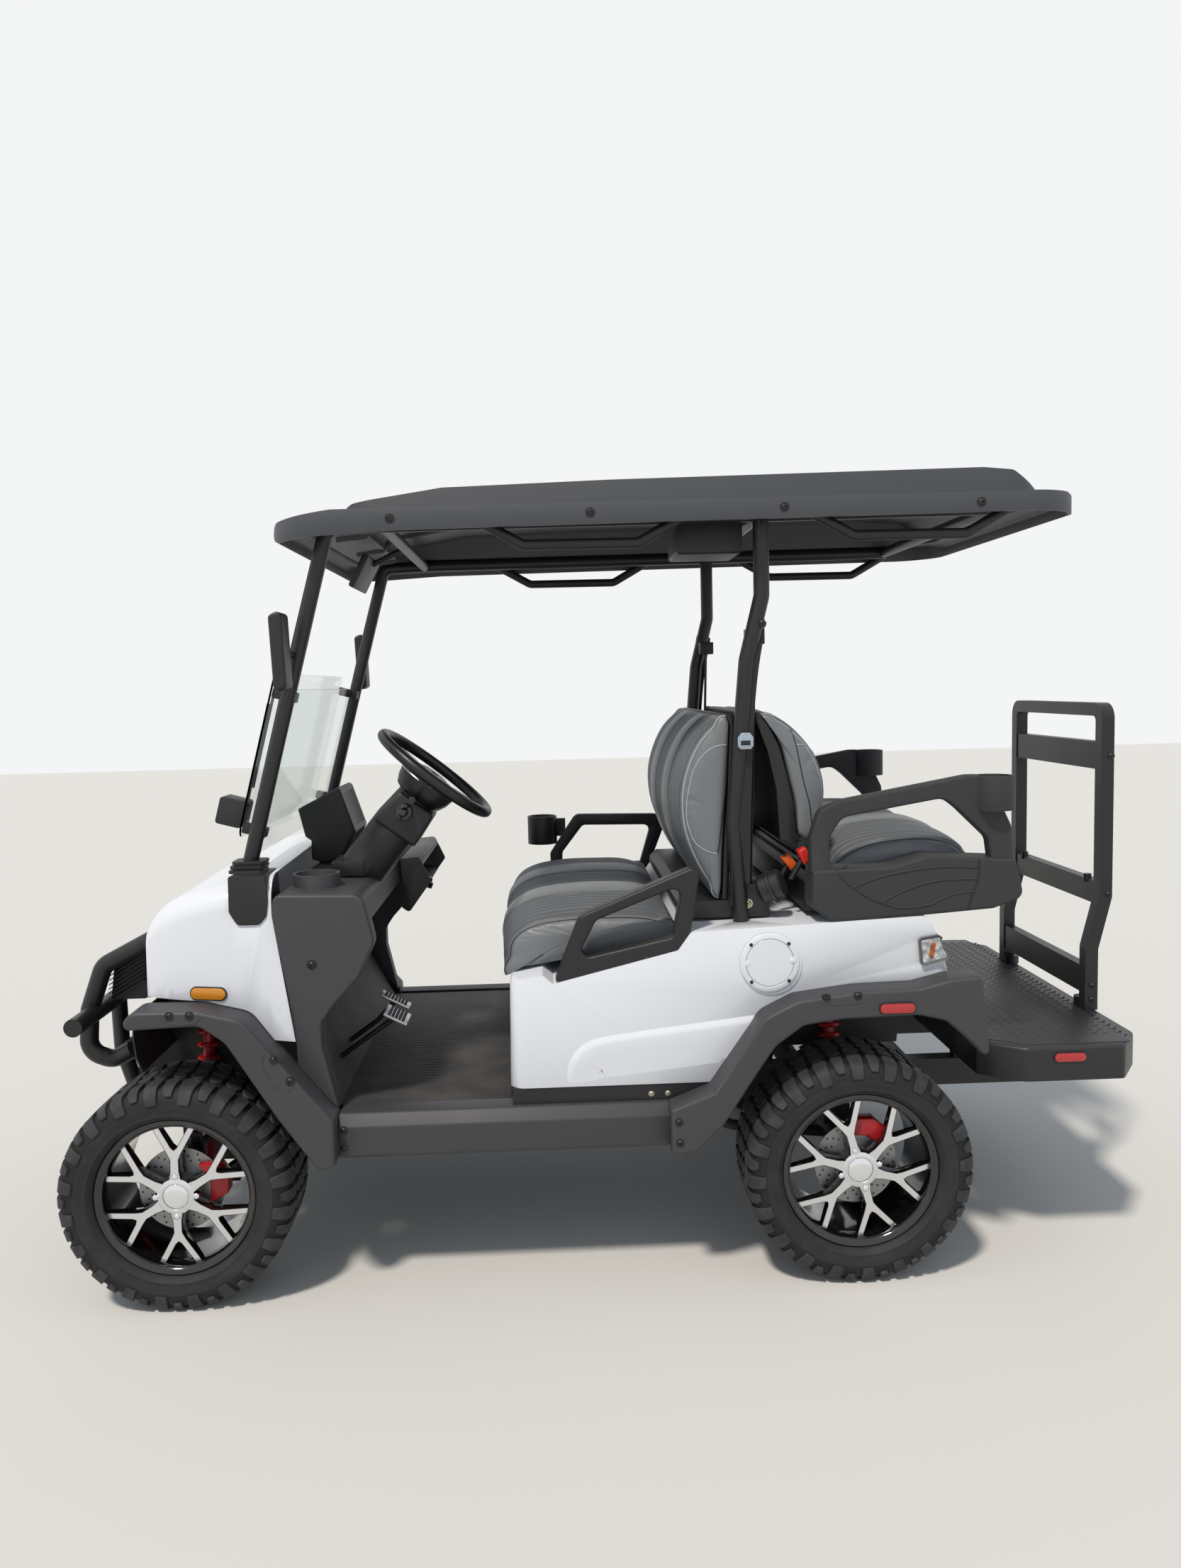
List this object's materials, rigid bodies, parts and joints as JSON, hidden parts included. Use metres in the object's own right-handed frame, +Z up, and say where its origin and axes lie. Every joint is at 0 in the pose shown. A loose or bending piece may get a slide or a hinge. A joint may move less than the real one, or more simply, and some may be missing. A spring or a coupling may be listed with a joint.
{
  "type": "golf cart",
  "caption": "Lifted golf cart with a front bench, a rear-facing flip seat, roof, folded windshield, brush guard, rear step and steered all-terrain wheels.",
  "frame": {"origin": "on the ground under the middle of the cart's length and width", "axes": "+X forward, +Y the cart's left, +Z up"},
  "size_m": [2.7854, 1.35, 2.032],
  "materials": {
    "frame_steel": "satin black powder coat",
    "floor": "moulded",
    "mat_rubber": "ribbed",
    "trim_plastic": "grained charcoal",
    "body_white": "gloss white",
    "lamp": "clear",
    "lamp_rear": "lens",
    "roof_plastic": "grained black",
    "window": "clear",
    "black_plastic": "moulded",
    "wheel_grip": "soft grip",
    "display": "glossy",
    "pedal": "cast",
    "vinyl": "grey vinyl",
    "step_metal": "tread plate",
    "battery": "plain",
    "axle": "painted",
    "spring": "red",
    "webbing": "woven",
    "tyre": "all terrain",
    "rim": "gloss black and machined"
  },
  "bodies": {
    "chassis": {"chassis_frame": "frame_steel", "floor_pan": "floor", "floor_mat": "mat_rubber", "rockers": "trim_plastic", "front_body": "body_white", "front_flares": "trim_plastic", "dash": "trim_plastic", "knee_panel": "black_plastic", "rear_body": "body_white", "rear_flares": "trim_plastic", "bumper": "frame_steel", "grille": "black_plastic", "head_lamps": "lamp", "tail_lamps": "lamp_rear", "roof": "roof_plastic", "roof_frame": "frame_steel", "roof_handles": "black_plastic", "pillar_boots": "black_plastic", "overhead_box": "black_plastic", "windshield": "window", "windshield_fittings": "black_plastic", "mirrors": "black_plastic", "steering_column": "black_plastic", "display": "display", "pedals": "pedal", "front_cushion": "vinyl", "front_backrest": "vinyl", "seat_back_frame": "frame_steel", "rear_backrest": "vinyl", "rear_seat_base": "black_plastic", "rear_side_panels": "black_plastic", "front_armrests": "black_plastic", "step": "step_metal", "grab_bar": "frame_steel", "battery": "battery", "rear_axle": "axle", "front_suspension": "frame_steel", "springs": "spring", "seat_belts": "webbing", "belt_hardware": "black_plastic"},
    "steering_wheel": {"steering_wheel": "wheel_grip"},
    "knuckle_left": {"knuckle_left": "axle"},
    "knuckle_right": {"knuckle_right": "axle"},
    "tie_rod": {"tie_rod": "frame_steel"},
    "rear_seat": {"rear_cushion": "vinyl", "rear_seat_deck": "black_plastic"},
    "wheel_front_left": {"tyre_front_left": "tyre", "rim_front_left": "rim"},
    "wheel_front_right": {"tyre_front_right": "tyre", "rim_front_right": "rim"},
    "wheel_rear_left": {"tyre_rear_left": "tyre", "rim_rear_left": "rim"},
    "wheel_rear_right": {"tyre_rear_right": "tyre", "rim_rear_right": "rim"}
  },
  "joints": [
    {"name": "steering_wheel_turn", "type": "hinge", "parent": "chassis", "child": "steering_wheel", "pos_m": [0.4633, 0.27, 1.281], "axis": [-0.6293, 0, 0.7771], "range_deg": [-450, 450]},
    {"name": "knuckle_left_steer", "type": "hinge", "parent": "chassis", "child": "knuckle_left", "pos_m": [1.0953, 0.47, 0.286], "axis": [0, 0, 1], "range_deg": [-28, 28]},
    {"name": "knuckle_right_steer", "type": "hinge", "parent": "chassis", "child": "knuckle_right", "pos_m": [1.0953, -0.47, 0.286], "axis": [0, 0, 1], "range_deg": [-28, 28]},
    {"name": "tie_rod_slide", "type": "slide", "parent": "chassis", "child": "tie_rod", "axis": [0, 1, 0], "range_m": [-0.0521, 0.0521]},
    {"name": "rear_seat_flip", "type": "hinge", "parent": "chassis", "child": "rear_seat", "pos_m": [-0.9447, 0, 0.975], "axis": [0, -1, 0], "range_deg": [0, 180]},
    {"name": "wheel_front_left_spin", "type": "hinge", "parent": "knuckle_left", "child": "wheel_front_left", "pos_m": [1.0953, 0.55, 0.286], "axis": [0, 1, 0], "continuous": true},
    {"name": "wheel_front_right_spin", "type": "hinge", "parent": "knuckle_right", "child": "wheel_front_right", "pos_m": [1.0953, -0.55, 0.286], "axis": [0, 1, 0], "continuous": true},
    {"name": "wheel_rear_left_spin", "type": "hinge", "parent": "chassis", "child": "wheel_rear_left", "pos_m": [-0.5947, 0.55, 0.286], "axis": [0, 1, 0], "continuous": true},
    {"name": "wheel_rear_right_spin", "type": "hinge", "parent": "chassis", "child": "wheel_rear_right", "pos_m": [-0.5947, -0.55, 0.286], "axis": [0, 1, 0], "continuous": true}
  ],
  "couplings": [
    {"joint": "knuckle_left_steer", "follows": "steering_wheel_turn", "ratio": 0.062221},
    {"joint": "knuckle_right_steer", "follows": "steering_wheel_turn", "ratio": 0.062221},
    {"joint": "tie_rod_slide", "follows": "steering_wheel_turn", "m_per_rad": -0.006575}
  ]
}
